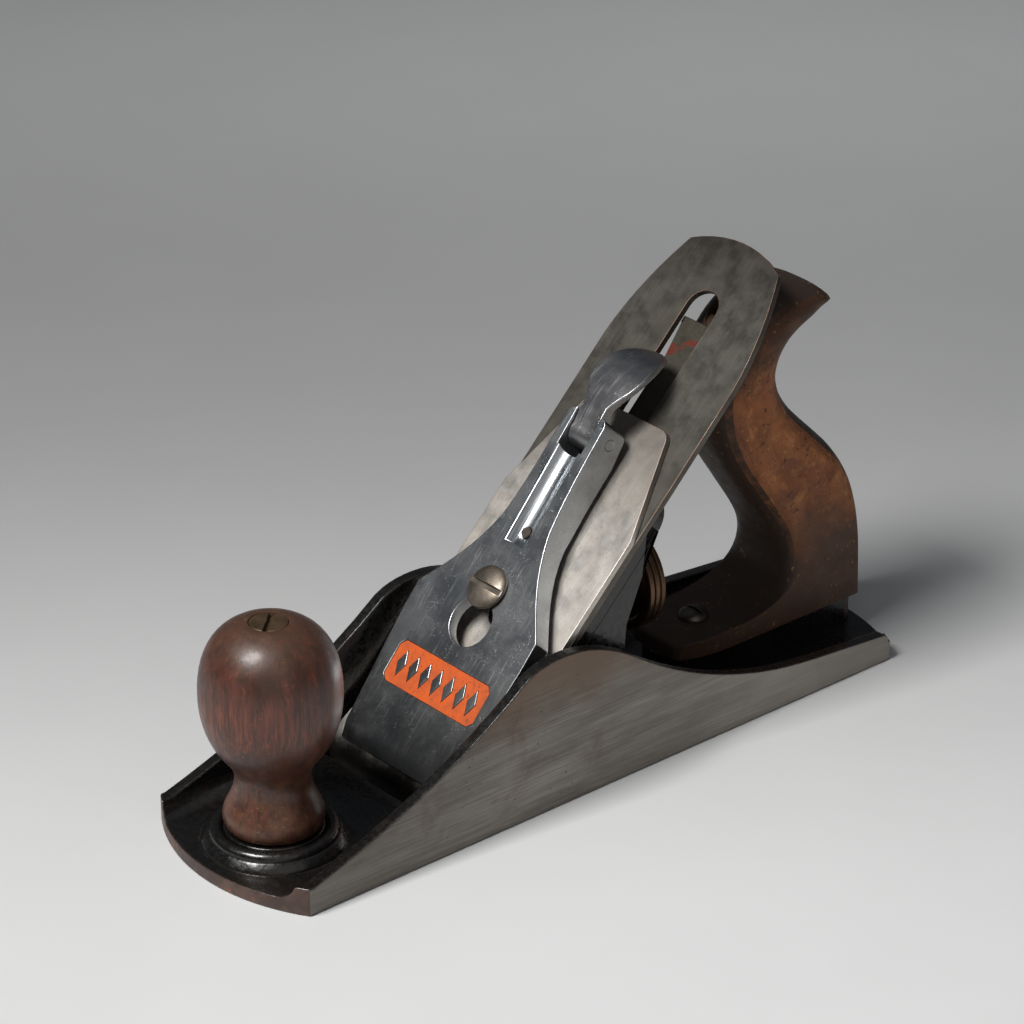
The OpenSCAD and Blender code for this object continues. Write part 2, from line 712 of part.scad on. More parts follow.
// Puts its children on the tote's rod, z = 0 at the tote's foot
module tote_rod_axis() {
    translate([0, tote_bolt_y, tote_z]) rotate([tote_bolt_lean, 0, 0]) children();
}

// Side outline: long foot, grip leaning forward, horn at the top rear
module tote_side() {
    foot_front = 43.5;
    polygon(concat(
        [[foot_front, tote_z], [foot_front, tote_z + 3.6], [foot_front + 2, tote_z + 5.2],
         [61, tote_z + 5.4]],
        curve([61, tote_z + 5.4], [74, 17.6], [83.5, 20], [83.6, 30], 8),
        curve([83.6, 30], [83.7, 38], [76, 46], [70, 55], 8),
        curve([70, 55], [62, 66], [57.6, 74], [57.6, 84], 8),
        curve([57.6, 84], [57.6, 98], [66, 110], [81, 112.4], 8),
        curve([81, 112.4], [90, 113.8], [98.2, 113.4], [96.4, 106], 6),
        curve([96.4, 106], [94, 100.5], [81, 98], [80.8, 89], 8),
        curve([80.8, 89], [80.8, 78], [93, 70], [100.5, 61], 8),
        curve([100.5, 61], [110.5, 48], [tote_rear, 36], [tote_rear, tote_z], 8)));
}

// Plan of the foot, which narrows to a blunt nose in front
module tote_plan() {
    half = tote_t / 2;
    nose = 43.5;
    polygon([[-7, nose], [7, nose], [half - 1, nose + 9], [half, nose + 18],
        [half, tote_rear - 1.6], [half - 1.6, tote_rear], [-half + 1.6, tote_rear],
        [-half, tote_rear - 1.6], [-half, nose + 18], [-half + 1, nose + 9]]);
}

module tote() color("sienna") difference() {
    intersection() {
        across(tote_t) tote_side();
        union() {
            linear_extrude(62) tote_plan();
            translate([-tote_t / 2, 20, 60]) cube([tote_t, 80, 80]);
        }
    }
    tote_rod_axis() translate([0, 0, -20]) cylinder(h = 140, r = 2.75 + fit);
    tote_rod_axis() translate([0, 0, 88.9]) cylinder(h = 30, r = 6 + fit);
    translate([0, tote_screw_y, 0]) cylinder(h = 30, r = 1.9);
}

module tote_bolt() color("slategray") tote_rod_axis() translate([0, 0, -7])
    cylinder(h = 100.8, r = 2.7);

module tote_nut() color("peru") tote_rod_axis() difference() {
    translate([0, 0, 89]) cylinder(h = 8.2, r = 6);
    translate([0, 0, 87.9]) cylinder(h = 6.2, r = 2.8);
    translate([-7, -0.7, 95.8]) cube([14, 1.4, 3]);
}

module tote_toe_screw() color("saddlebrown") translate([0, tote_screw_y, 0]) difference() {
    union() {
        translate([0, 0, 3.5]) cylinder(h = 14, r = 1.75);
        translate([0, 0, tote_z + 5.5]) rotate_extrude()
            polygon(concat([[0, 0], [4.4, 0]], curve([4.4, 0], [4.4, 1.6], [2.4, 2.6],
                [0, 2.6], 6)));
    }
    translate([-6, -0.6, tote_z + 7.1]) cube([12, 1.2, 3]);
}

body_casting();
frog();
frog_screws();
frog_washers();
frog_adjusting_screw();
frog_clip();
frog_clip_screw();
adjuster_stud();
adjuster_wheel();
yoke_lever();
yoke_pin();
lateral_lever();
lateral_roller();
lateral_rivet();
iron();
cap_iron();
cap_iron_screw();
lever_cap();
lever_cap_panel();
lever_cap_screw();
leaf_spring();
spring_rivet();
cam_lever();
cam_pin();
knob();
knob_bolt();
knob_nut();
tote();
tote_bolt();
tote_nut();
tote_toe_screw();
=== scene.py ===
"""Looks of the hand plane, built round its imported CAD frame.

Bare lengths are in millimetres, and MM turns them into Blender's metres. The stage's own
lengths are in metres.
"""

import json
import math

import bmesh
import bpy
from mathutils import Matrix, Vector


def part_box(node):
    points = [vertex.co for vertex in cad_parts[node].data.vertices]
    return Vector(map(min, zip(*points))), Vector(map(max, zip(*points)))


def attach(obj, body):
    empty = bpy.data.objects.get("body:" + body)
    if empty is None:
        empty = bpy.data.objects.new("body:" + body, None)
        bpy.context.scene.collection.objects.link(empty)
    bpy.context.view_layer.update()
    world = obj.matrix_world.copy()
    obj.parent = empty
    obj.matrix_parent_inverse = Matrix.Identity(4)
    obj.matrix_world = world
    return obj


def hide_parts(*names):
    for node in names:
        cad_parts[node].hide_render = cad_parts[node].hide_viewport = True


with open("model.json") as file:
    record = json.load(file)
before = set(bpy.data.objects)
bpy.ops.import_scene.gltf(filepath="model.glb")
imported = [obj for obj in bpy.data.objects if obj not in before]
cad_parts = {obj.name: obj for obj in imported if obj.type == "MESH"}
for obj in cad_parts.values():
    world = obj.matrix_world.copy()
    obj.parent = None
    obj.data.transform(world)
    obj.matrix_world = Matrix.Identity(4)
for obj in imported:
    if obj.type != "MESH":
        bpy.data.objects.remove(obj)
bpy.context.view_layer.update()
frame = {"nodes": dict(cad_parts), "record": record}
NODES = frame["nodes"]
MM = 0.001
BODY_OF = {n: b for b, ns in frame["record"]["behaviour"]["bodies"].items() for n in ns}
SLOT_OF = {s["node"]: s["material_slot"] for s in frame["record"]["subparts"]}

# foot of the knob's axis, and how far its seat reaches round it
KNOB_SEAT = (0, -89.8, 8.2)
KNOB_SEAT_REACH = 20.5
SOLE_TOP = 4.1
# foot and forward lean of the tote's rod, and the counterbore for the nut at its top
TOTE_ROD_FOOT = (0, 96, 11.8)
TOTE_ROD_LEAN = 16.2
NUT_BORE_R = 6.15
NUT_BORE_SPAN = (88.7, 130)
TOTE_HALF_THICKNESS = 13


# ------------------------------------------------------------------ materials


class Graph:
    """A Principled material built with short calls. Texture sizes are in millimetres."""

    def __init__(self, name, metallic=0.0, specular=0.5, coat=0.0, coat_rough=0.2):
        self.mat = bpy.data.materials.new(name)
        self.mat.use_nodes = True
        self.tree = self.mat.node_tree
        self.tree.nodes.clear()
        out = self.tree.nodes.new("ShaderNodeOutputMaterial")
        self.bsdf = self.tree.nodes.new("ShaderNodeBsdfPrincipled")
        self.tree.links.new(self.bsdf.outputs[0], out.inputs["Surface"])
        self.bsdf.inputs["Metallic"].default_value = metallic
        self.bsdf.inputs["Specular IOR Level"].default_value = specular
        self.bsdf.inputs["Coat Weight"].default_value = coat
        self.bsdf.inputs["Coat Roughness"].default_value = coat_rough
        self.coord = self.tree.nodes.new("ShaderNodeTexCoord").outputs["Object"]

    def put(self, value, socket):
        """Links an output to a socket, or sets the socket's own value."""
        if isinstance(value, bpy.types.NodeSocket):
            self.tree.links.new(value, socket)
        elif isinstance(value, (tuple, list)) and len(value) == 3 and socket.type == "RGBA":
            socket.default_value = (*value, 1.0)
        else:
            socket.default_value = value

    def space(self, stretch=(1, 1, 1), turn=(0, 0, 0), shift=(0, 0, 0)):
        """Coordinates in millimetres, turned by degrees and then divided by stretch."""
        turned = self.tree.nodes.new("ShaderNodeMapping")
        turned.inputs["Rotation"].default_value = [math.radians(a) for a in turn]
        self.put(self.coord, turned.inputs["Vector"])
        node = self.tree.nodes.new("ShaderNodeMapping")
        node.inputs["Scale"].default_value = [1 / (MM * s) for s in stretch]
        node.inputs["Location"].default_value = shift
        self.put(turned.outputs[0], node.inputs["Vector"])
        return node.outputs[0]

    def noise(self, size, detail=4.0, rough=0.55, space=None, warp=0.0):
        node = self.tree.nodes.new("ShaderNodeTexNoise")
        self.put(space or self.space(), node.inputs["Vector"])
        node.inputs["Scale"].default_value = 1 / size
        node.inputs["Detail"].default_value = detail
        node.inputs["Roughness"].default_value = rough
        node.inputs["Distortion"].default_value = warp
        return node.outputs["Fac"]

    def cells(self, size):
        """Distance to the nearest of some scattered points."""
        node = self.tree.nodes.new("ShaderNodeTexVoronoi")
        self.put(self.space(), node.inputs["Vector"])
        node.inputs["Scale"].default_value = 1 / size
        return node.outputs["Distance"]

    def axis(self, name):
        node = self.tree.nodes.new("ShaderNodeSeparateXYZ")
        self.put(self.space(), node.inputs[0])
        return node.outputs[name]

    def normal(self, name):
        geo = self.tree.nodes.new("ShaderNodeNewGeometry")
        node = self.tree.nodes.new("ShaderNodeSeparateXYZ")
        self.put(geo.outputs["True Normal"], node.inputs[0])
        return node.outputs[name]

    def step(self, value, low, high, to_low=0.0, to_high=1.0):
        """Smooth rise from to_low to to_high while value goes from low to high."""
        node = self.tree.nodes.new("ShaderNodeMapRange")
        node.interpolation_type = "SMOOTHSTEP"
        for socket, v in zip(node.inputs, (value, low, high, to_low, to_high)):
            self.put(v, socket)
        return node.outputs["Result"]

    def calc(self, op, a, b=0.0, clamp=False):
        node = self.tree.nodes.new("ShaderNodeMath")
        node.operation = op
        node.use_clamp = clamp
        self.put(a, node.inputs[0])
        self.put(b, node.inputs[1])
        return node.outputs[0]

    def mix(self, fac, a, b):
        node = self.tree.nodes.new("ShaderNodeMix")
        node.data_type = "RGBA"
        self.put(fac, node.inputs["Factor"])
        self.put(a, node.inputs[6])
        self.put(b, node.inputs[7])
        return node.outputs[2]

    def edge(self, radius):
        """0 on flat surfaces, up to 1 within about radius of a sharp edge."""
        bevel = self.tree.nodes.new("ShaderNodeBevel")
        bevel.samples = 6
        bevel.inputs["Radius"].default_value = radius * MM
        geo = self.tree.nodes.new("ShaderNodeNewGeometry")
        dot = self.tree.nodes.new("ShaderNodeVectorMath")
        dot.operation = "DOT_PRODUCT"
        self.put(bevel.outputs[0], dot.inputs[0])
        self.put(geo.outputs["Normal"], dot.inputs[1])
        return self.step(self.calc("SUBTRACT", 1.0, dot.outputs["Value"]), 0.01, 0.16)

    def rim(self, radius):
        """Like edge, but left out of inner corners."""
        open_side = self.tree.nodes.new("ShaderNodeAmbientOcclusion")
        open_side.samples = 4
        open_side.inputs["Distance"].default_value = 4 * MM
        return self.calc("MULTIPLY", self.edge(radius),
                         self.step(open_side.outputs["AO"], 0.62, 0.9))

    def bump(self, height, depth, strength=1.0, under=None):
        node = self.tree.nodes.new("ShaderNodeBump")
        node.inputs["Distance"].default_value = depth * MM
        node.inputs["Strength"].default_value = strength
        self.put(height, node.inputs["Height"])
        if under is not None:
            self.put(under, node.inputs["Normal"])
        return node.outputs[0]

    def finish(self, color, rough, normal):
        self.put(color, self.bsdf.inputs["Base Color"])
        self.put(rough, self.bsdf.inputs["Roughness"])
        self.put(normal, self.bsdf.inputs["Normal"])
        return self.mat


def japanned(name, dust=0.35, wear=1.0):
    """Old black asphaltum enamel: glossy, lumpy, chipped to brown iron at its edges."""
    g = Graph(name, coat=0.35, coat_rough=0.12)
    blotch = g.noise(14, 5)
    fine = g.noise(1.6, 5, 0.65)
    dirt = g.step(blotch, 0.5, 0.72, 0.0, dust)
    color = g.mix(dirt, (0.006, 0.0055, 0.005), (0.03, 0.022, 0.017))
    specks = g.step(g.cells(2.3), 0.12, 0.05)
    specks = g.calc("MULTIPLY", specks, g.step(g.noise(9, 3), 0.5, 0.6))
    color = g.mix(specks, color, (0.09, 0.066, 0.05))
    edge = g.calc("MULTIPLY", g.rim(1.0), g.step(g.noise(2.2, 5, 0.7), 0.4, 0.56, 0.0, wear))
    color = g.mix(edge, color, (0.1, 0.062, 0.042))
    rough = g.calc("ADD", g.step(fine, 0.35, 0.7, 0.2, 0.42), g.calc("MULTIPLY", edge, 0.25))
    lumps = g.bump(g.noise(5, 3), 0.35, 0.8)
    grain = g.bump(fine, 0.06, 0.7, lumps)
    return g.finish(color, rough, grain)


def steel(name, base, dark, rust, rough=(0.3, 0.5), brush=(0, 0, 0), patina=0.5, specks=0.3,
          edge_color=None, brush_stretch=(1, 60, 1), low=0.42, high=0.68, darker=(),
          freckles=0.0):
    """Worn steel: brush marks along one direction, a mottled patina, specks and worn edges.

    darker holds (start, stop, color, amount) for darkening that sets in over a range of heights;
    the cap iron's low end uses it for painted shade.
    """
    g = Graph(name, metallic=0.9)
    brush_space = g.space(brush_stretch, brush)
    marks = g.noise(0.7, 4, 0.6, brush_space)
    cloud = g.noise(17, 6, 0.62, warp=0.6)
    color = g.mix(g.step(marks, 0.3, 0.7, 0.0, 0.35), base, dark)
    color = g.mix(g.step(cloud, low, high, 0.0, patina), color, rust)
    spots = g.calc("MULTIPLY", g.step(g.cells(1.7), 0.2, 0.06), g.step(g.noise(6, 4), 0.46, 0.62))
    color = g.mix(g.calc("MULTIPLY", spots, specks), color, dark)
    dots = g.step(g.noise(0.6, 5, 0.75), 0.57, 0.66, 0.0, freckles)
    color = g.mix(dots, color, rust)
    # darkening over a range of heights, painted shade at the cap iron's low end
    for start, stop, shade, amount in darker:
        height = g.calc("ADD", g.axis("Z"), g.calc("MULTIPLY", g.noise(7, 5, 0.65), 14))
        color = g.mix(g.step(height, start, stop, 0.0, amount), color, shade)
    if edge_color:
        worn = g.calc("MULTIPLY", g.rim(0.6), g.step(g.noise(3, 4, 0.7), 0.33, 0.52))
        color = g.mix(worn, color, edge_color)
    shine = g.step(g.noise(6, 5, 0.6), 0.3, 0.7, rough[0], rough[1])
    shine = g.calc("ADD", shine, g.step(cloud, low, high, 0.0, 0.12))
    normal = g.bump(marks, 0.012, 0.6)
    normal = g.bump(g.calc("SUBTRACT", g.noise(2.5, 4), spots), 0.03, 0.7, normal)
    return g.finish(color, shine, normal)


def cheek_steel():
    """Ground cheeks and sole: lengthwise marks, browner high up, darker toe and paler heel."""
    g = Graph("cheek_steel", metallic=0.8)
    marks = g.noise(0.45, 6, 0.7, g.space((1, 60, 1)))
    broad = g.noise(9, 5, 0.65, g.space((1, 5, 1)))
    cloud = g.noise(26, 6, 0.6, warp=0.8)
    color = g.mix(g.step(marks, 0.32, 0.68), (0.165, 0.152, 0.134), (0.27, 0.25, 0.222))
    color = g.mix(g.step(broad, 0.42, 0.7, 0.0, 0.5), color, (0.11, 0.092, 0.078))
    toe = g.step(g.calc("ADD", g.axis("Y"), g.calc("MULTIPLY", cloud, 50)), 5, -70, 0.0, 0.5)
    color = g.mix(toe, color, (0.085, 0.077, 0.07))
    height = g.axis("Z")
    high = g.step(g.calc("ADD", height, g.calc("MULTIPLY", cloud, 26)), 34, 54, 0.0, 0.8)
    color = g.mix(high, color, (0.15, 0.098, 0.068))
    brown = g.step(cloud, 0.55, 0.72, 0.0, 0.45)
    color = g.mix(brown, color, (0.085, 0.055, 0.038))
    spots = g.calc("MULTIPLY", g.step(g.cells(2.6), 0.2, 0.05), g.step(g.noise(11, 4), 0.5, 0.62))
    color = g.mix(g.calc("MULTIPLY", spots, 0.6), color, (0.04, 0.028, 0.022))
    heel = g.step(g.calc("ADD", g.axis("Y"), g.calc("MULTIPLY", cloud, 60)), 20, 120, 0.0, 0.6)
    color = g.mix(heel, color, (0.34, 0.315, 0.28))
    worn = g.calc("MULTIPLY", g.edge(0.6), g.step(g.noise(4, 5, 0.7), 0.36, 0.5))
    color = g.mix(g.calc("MULTIPLY", worn, 0.7), color, (0.3, 0.275, 0.245))
    rough = g.calc("ADD", g.step(broad, 0.35, 0.7, 0.34, 0.5), g.calc("MULTIPLY", high, 0.04))
    normal = g.bump(marks, 0.01, 0.5)
    normal = g.bump(g.noise(3, 5), 0.02, 0.5, normal)
    return g.finish(color, rough, normal)


def toe_face():
    """The toe's and heel's cast faces: red-brown paint, rust and worn edges."""
    g = Graph("toe_face", coat=0.1, coat_rough=0.3)
    cloud = g.noise(9, 6, 0.65, warp=0.5)
    color = g.mix(g.step(cloud, 0.4, 0.65), (0.055, 0.03, 0.024), (0.115, 0.062, 0.045))
    color = g.mix(g.step(g.noise(5, 6, 0.7), 0.6, 0.68, 0.0, 0.85), color, (0.33, 0.11, 0.04))
    worn = g.calc("MULTIPLY", g.edge(0.7), g.step(g.noise(3, 5, 0.7), 0.42, 0.55))
    color = g.mix(worn, color, (0.16, 0.11, 0.08))
    rough = g.step(g.noise(2, 4), 0.3, 0.7, 0.38, 0.6)
    return g.finish(color, rough, g.bump(g.noise(1.5, 6, 0.65), 0.1, 0.7))


def wood(name, dark, mid, light, grain_stretch, turn=(0, 0, 0), wear=0.5, coat=0.3,
         gloss=(0.3, 0.5), specular=0.5):
    """Stained beech with short pores along the grain, dark blotches and light scuffs.

    Gives the graph, colour, roughness and normal, for more layers to go on top.
    """
    g = Graph(name, specular=specular, coat=coat, coat_rough=0.22)
    grain = g.space(grain_stretch, turn)
    streak = g.noise(1.1, 5, 0.62, grain, 0.4)
    figure = g.noise(3.5, 4, 0.6, grain, 0.8)
    blotch = g.noise(13, 5, 0.6, warp=0.7)
    color = g.mix(g.step(figure, 0.34, 0.66), dark, mid)
    color = g.mix(g.step(streak, 0.52, 0.7, 0.0, 0.6), color, light)
    color = g.mix(g.step(blotch, 0.45, 0.7, 0.0, 0.75), color, dark)
    pores = g.step(g.noise(0.42, 2, 0.5, grain), 0.62, 0.7)
    color = g.mix(g.calc("MULTIPLY", pores, 0.7), color, tuple(c * 0.35 for c in dark))
    scuffs = g.calc("MULTIPLY", g.step(g.noise(1.6, 6, 0.75), 0.6, 0.68),
                    g.step(g.noise(11, 3), 0.5, 0.62))
    color = g.mix(g.calc("MULTIPLY", scuffs, wear), color, tuple(min(1, c * 2.3) for c in light))
    rough = g.step(g.noise(4, 5, 0.6), 0.3, 0.7, gloss[0], gloss[1])
    rough = g.calc("ADD", rough, g.calc("MULTIPLY", scuffs, 0.2))
    normal = g.bump(g.calc("SUBTRACT", g.calc("MULTIPLY", streak, 0.5), pores), 0.05, 0.5)
    normal = g.bump(g.noise(7, 4), 0.25, 0.5, normal)
    return g, color, rough, normal


def knob_wood():
    """Turned knob: red-brown varnish, streaks up the grain, amber where it has worn through."""
    g, color, rough, normal = wood(
        "knob_wood", (0.042, 0.017, 0.011), (0.1, 0.031, 0.019), (0.2, 0.055, 0.024),
        (1, 1, 14), wear=0.5, coat=0.22, gloss=(0.34, 0.5))
    wander = g.calc("MULTIPLY", g.noise(9, 4), 10)
    height = g.calc("ADD", g.axis("Z"), wander)
    band = g.calc("MULTIPLY", g.step(height, 40, 48), g.step(height, 60, 52))
    fibre = g.step(g.noise(0.8, 4, 0.65, g.space((1, 1, 12))), 0.46, 0.6)
    color = g.mix(g.calc("MULTIPLY", g.calc("MULTIPLY", band, fibre), 0.5), color,
                  (0.24, 0.06, 0.026))
    low = g.calc("MULTIPLY", g.step(height, 38, 26), g.step(g.noise(3, 5, 0.7), 0.38, 0.62))
    color = g.mix(g.calc("MULTIPLY", low, 0.6), color, (0.13, 0.058, 0.026))
    crown = g.calc("MULTIPLY", g.step(height, 62, 72), 0.6)
    color = g.mix(crown, color, (0.075, 0.042, 0.027))
    # scratches through the varnish, most of them near the neck, the base and the crown
    scratch = g.step(g.noise(0.9, 6, 0.8, g.space((3, 3, 1), (25, 10, 0))), 0.6, 0.66)
    where = g.calc("ADD", g.step(height, 44, 30), g.step(height, 64, 74, 0.0, 0.5))
    where = g.calc("MULTIPLY", g.calc("ADD", where, 0.12, clamp=True),
                   g.step(g.noise(6, 5, 0.7), 0.42, 0.6))
    color = g.mix(g.calc("MULTIPLY", scratch, where), color, (0.34, 0.17, 0.06))
    return g.finish(color, rough, normal)


def tote_wood():
    """Tote: bare orange-brown sides with dark, handled edges, darker towards foot and horn."""
    g, color, rough, normal = wood(
        "tote_wood", (0.2, 0.066, 0.024), (0.41, 0.14, 0.045), (0.62, 0.26, 0.085),
        (1, 5, 5), turn=(18, 0, 0), wear=0.6, coat=0.05, gloss=(0.5, 0.68), specular=0.3)
    flecks = g.step(g.noise(0.55, 5, 0.75), 0.56, 0.66, 0.0, 0.55)
    color = g.mix(flecks, color, (0.075, 0.034, 0.018))
    side = g.step(g.calc("ABSOLUTE", g.normal("X")), 0.3, 0.95)
    cloud = g.calc("MULTIPLY", g.noise(7, 6, 0.68), 0.9)
    ragged = g.step(g.calc("ADD", side, cloud), 1.0, 1.42)
    color = g.mix(ragged, (0.042, 0.024, 0.016), color)
    height = g.calc("ADD", g.axis("Z"), g.calc("MULTIPLY", g.noise(14, 5), 30))
    color = g.mix(g.step(height, 72, 42, 0.0, 0.86), color, (0.06, 0.04, 0.03))
    color = g.mix(g.step(height, 100, 118, 0.0, 0.85), color, (0.036, 0.024, 0.018))
    chips = g.calc("MULTIPLY", g.step(g.noise(1.5, 6, 0.75), 0.6, 0.64),
                   g.step(g.noise(9, 5, 0.7), 0.5, 0.56))
    color = g.mix(g.calc("MULTIPLY", chips, 0.75), color, (0.55, 0.3, 0.11))
    return g.finish(color, rough, normal)


def nickel(name, tint=(0.5, 0.51, 0.53), haze_and_shade_color=(0.16, 0.155, 0.145), haze=0.5, edge=0.4,
           low_end_shade=0.0):
    """Old nickel plate: shiny where sound, scratched, with pits and brownish haze, and painted
    shade darkening its lower end in the haze colour.
    """
    g = Graph(name, metallic=1.0)
    scratch = g.noise(0.5, 3, 0.6, g.space((1, 24, 24), (-45, 0, 0)))
    cloud = g.noise(15, 7, 0.62)
    color = g.mix(g.step(cloud, 0.38, 0.7, 0.0, haze), tint, haze_and_shade_color)
    pits = g.calc("MULTIPLY", g.step(g.noise(0.45, 5, 0.75), 0.56, 0.64),
                  g.step(g.noise(5, 5, 0.7), 0.4, 0.6))
    color = g.mix(g.calc("MULTIPLY", pits, 0.7), color, (0.14, 0.12, 0.095))
    # painted shade: the lower end darkens towards the haze colour, where the knob's shadow falls
    color = g.mix(g.step(g.axis("Z"), 48, 18, 0.0, low_end_shade), color, haze_and_shade_color)
    worn = g.calc("MULTIPLY", g.rim(0.3), g.step(g.noise(3, 4, 0.7), 0.34, 0.56))
    color = g.mix(g.calc("MULTIPLY", worn, edge), color, (0.5, 0.49, 0.47))
    rough = g.step(cloud, 0.36, 0.7, 0.27, 0.42)
    rough = g.calc("ADD", rough, g.step(scratch, 0.55, 0.75, 0.0, 0.14))
    rough = g.calc("ADD", rough, g.calc("MULTIPLY", g.calc("ADD", pits, worn), 0.2))
    normal = g.bump(scratch, 0.008, 0.5)
    normal = g.bump(g.calc("SUBTRACT", g.calc("MULTIPLY", g.noise(1.3, 5), 0.25), pits), 0.015, 0.6,
                    normal)
    return g.finish(color, rough, normal)


def enamel():
    """Orange enamel in the panel, grainy, with scattered dark dirt."""
    g = Graph("panel_enamel", coat=0.1)
    cloud = g.noise(4, 6, 0.65)
    color = g.mix(g.step(cloud, 0.35, 0.7), (0.72, 0.125, 0.022), (0.5, 0.085, 0.018))
    dirt = g.calc("MULTIPLY", g.step(g.noise(1.2, 5, 0.7), 0.58, 0.68), 0.7)
    color = g.mix(dirt, color, (0.09, 0.035, 0.02))
    return g.finish(color, g.step(cloud, 0.3, 0.7, 0.35, 0.55), g.bump(g.noise(0.9, 5), 0.05, 0.7))


MATERIALS = {
    "japanned_casting": japanned("casting_japan"),
    "japanned_frog": japanned("frog_japan", 0.25),
    "dark_steel": steel("dark_steel", (0.16, 0.145, 0.13), (0.05, 0.04, 0.035),
                        (0.09, 0.05, 0.03)),
    "screw_steel": steel("screw_steel", (0.27, 0.24, 0.2), (0.1, 0.082, 0.066),
                         (0.14, 0.09, 0.06), edge_color=(0.5, 0.46, 0.4), patina=0.7),
    "handle_nut": steel("handle_nut", (0.2, 0.135, 0.08), (0.09, 0.055, 0.035),
                        (0.13, 0.075, 0.045), rough=(0.4, 0.6), edge_color=(0.35, 0.25, 0.16)),
    "wheel_brass": steel("wheel_bronze", (0.2, 0.115, 0.065), (0.07, 0.042, 0.028),
                         (0.05, 0.032, 0.022), edge_color=(0.45, 0.29, 0.17),
                         rough=(0.28, 0.45), brush_stretch=(1, 1, 1)),
    "yoke_iron": japanned("yoke_japan", 0.3),
    "lateral_steel": steel("lateral_steel", (0.085, 0.078, 0.062), (0.04, 0.036, 0.03),
                           (0.2, 0.03, 0.018), patina=0.7, low=0.61, high=0.65, rough=(0.4, 0.6)),
    "iron_steel": steel("iron_steel", (0.15, 0.142, 0.125), (0.075, 0.07, 0.06),
                        (0.06, 0.046, 0.036), brush=(-45, 0, 0), edge_color=(0.34, 0.13, 0.05),
                        patina=0.4, rough=(0.34, 0.5), freckles=0.45,
                        darker=((112, 140, (0.04, 0.034, 0.03), 0.75),)),
    "cap_iron_steel": steel("cap_iron_steel", (0.72, 0.69, 0.645), (0.42, 0.385, 0.35),
                            (0.3, 0.24, 0.19), brush=(-45, 0, 0), edge_color=(0.5, 0.2, 0.075),
                            patina=0.4, specks=0.7, rough=(0.36, 0.5), freckles=0.6,
                            darker=((62, 98, (0.2, 0.18, 0.16), 0.85),
                                    # below 24 mm the cap iron turns nearly black: painted shade of
                                    # the dark pocket at the mouth, where the knob's shadow falls on
                                    # its hump
                                    (24, 14, (0.02, 0.017, 0.014), 0.97))),
    # the lever cap's lower end carries painted shade, the knob's shadow
    "nickel_cap": nickel("nickel_cap", (0.45, 0.475, 0.5), (0.14, 0.135, 0.125), low_end_shade=0.6),
    "nickel_cam": nickel("nickel_cam", (0.46, 0.46, 0.475), haze=0.3, edge=0.8),
    "panel_enamel": enamel(),
    "spring_steel": steel("spring_steel", (0.33, 0.31, 0.29), (0.14, 0.12, 0.1), (0.16, 0.1, 0.06),
                          edge_color=(0.6, 0.57, 0.52)),
    "stained_beech_knob": knob_wood(),
    "stained_beech_tote": tote_wood(),
}


# ------------------------------------------------------------------ mesh helpers


def add_object(name, data):
    """An object in the scene for a mesh, light or camera."""
    obj = bpy.data.objects.new(name, data)
    bpy.context.scene.collection.objects.link(obj)
    return obj


def aim(obj, way):
    """Turns a light or camera to look along way."""
    obj.rotation_mode = "QUATERNION"
    obj.rotation_quaternion = way.to_track_quat("-Z", "Y")


def new_piece(name, bm, node, materials, weighted=True):
    """Turns bm into a piece that stands for a CAD node and rides on that node's body."""
    mesh = bpy.data.meshes.new(name)
    bmesh.ops.recalc_face_normals(bm, faces=bm.faces)
    bm.to_mesh(mesh)
    bm.free()
    for m in materials:
        mesh.materials.append(m)
    mesh.polygons.foreach_set("use_smooth", [True] * len(mesh.polygons))
    mesh.set_sharp_from_angle(angle=math.radians(35))
    piece = add_object(name, mesh)
    if weighted:
        mod = piece.modifiers.new("flat_faces", "WEIGHTED_NORMAL")
        mod.keep_sharp = True
    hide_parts(node)
    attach(piece, BODY_OF[node])
    return piece


def softened(node, name, bevel, materials=None, choose=None):
    """A copy of a CAD node's mesh with its outer edges rounded by a small bevel.

    With choose, a face's material is the one of materials that choose(face) numbers.
    """
    bm = bmesh.new()
    bm.from_mesh(NODES[node].data)
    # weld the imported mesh's doubled corners, then merge its flat triangles into faces
    bmesh.ops.remove_doubles(bm, verts=bm.verts, dist=2e-6)
    bmesh.ops.dissolve_limit(bm, angle_limit=math.radians(0.6), verts=bm.verts, edges=bm.edges)
    limit = math.radians(32)
    sharp = [e for e in bm.edges if e.is_manifold and e.calc_face_angle_signed(0) > limit]
    bmesh.ops.bevel(bm, geom=sharp, offset=bevel * MM, segments=2, profile=0.5,
                    affect="EDGES", clamp_overlap=False, offset_type="OFFSET")
    if choose:
        for f in bm.faces:
            f.material_index = choose(f)
    return new_piece(name, bm, node, materials or [MATERIALS[SLOT_OF[node]]])


def bezier(a, b, c, d, t):
    """Point of a cubic curve given by two-number points."""
    u = 1 - t
    return tuple(u ** 3 * p + 3 * u * u * t * q + 3 * u * t * t * r + t ** 3 * s
                 for p, q, r, s in zip(a, b, c, d))


def along(curves, position):
    """Point of a chain of cubic curves; position counts curves."""
    index = min(int(position), len(curves) - 1)
    return bezier(*curves[index], position - index)


def between(pairs, x):
    """Straight-line reading of a short list of (x, value) pairs."""
    for (x0, v0), (x1, v1) in zip(pairs, pairs[1:]):
        if x <= x1:
            return v0 + (v1 - v0) * max(0.0, x - x0) / (x1 - x0)
    return pairs[-1][1]


def add_rings(bm, rings):
    """Skins a list of closed rings of points, given in millimetres, and caps both ends."""
    verts = [[bm.verts.new(Vector(p) * MM) for p in ring] for ring in rings]
    count = len(rings[0])
    for lower, upper in zip(verts, verts[1:]):
        for i in range(count):
            j = (i + 1) % count
            bm.faces.new((lower[i], lower[j], upper[j], upper[i]))
    bm.faces.new(verts[0])
    bm.faces.new(verts[-1])


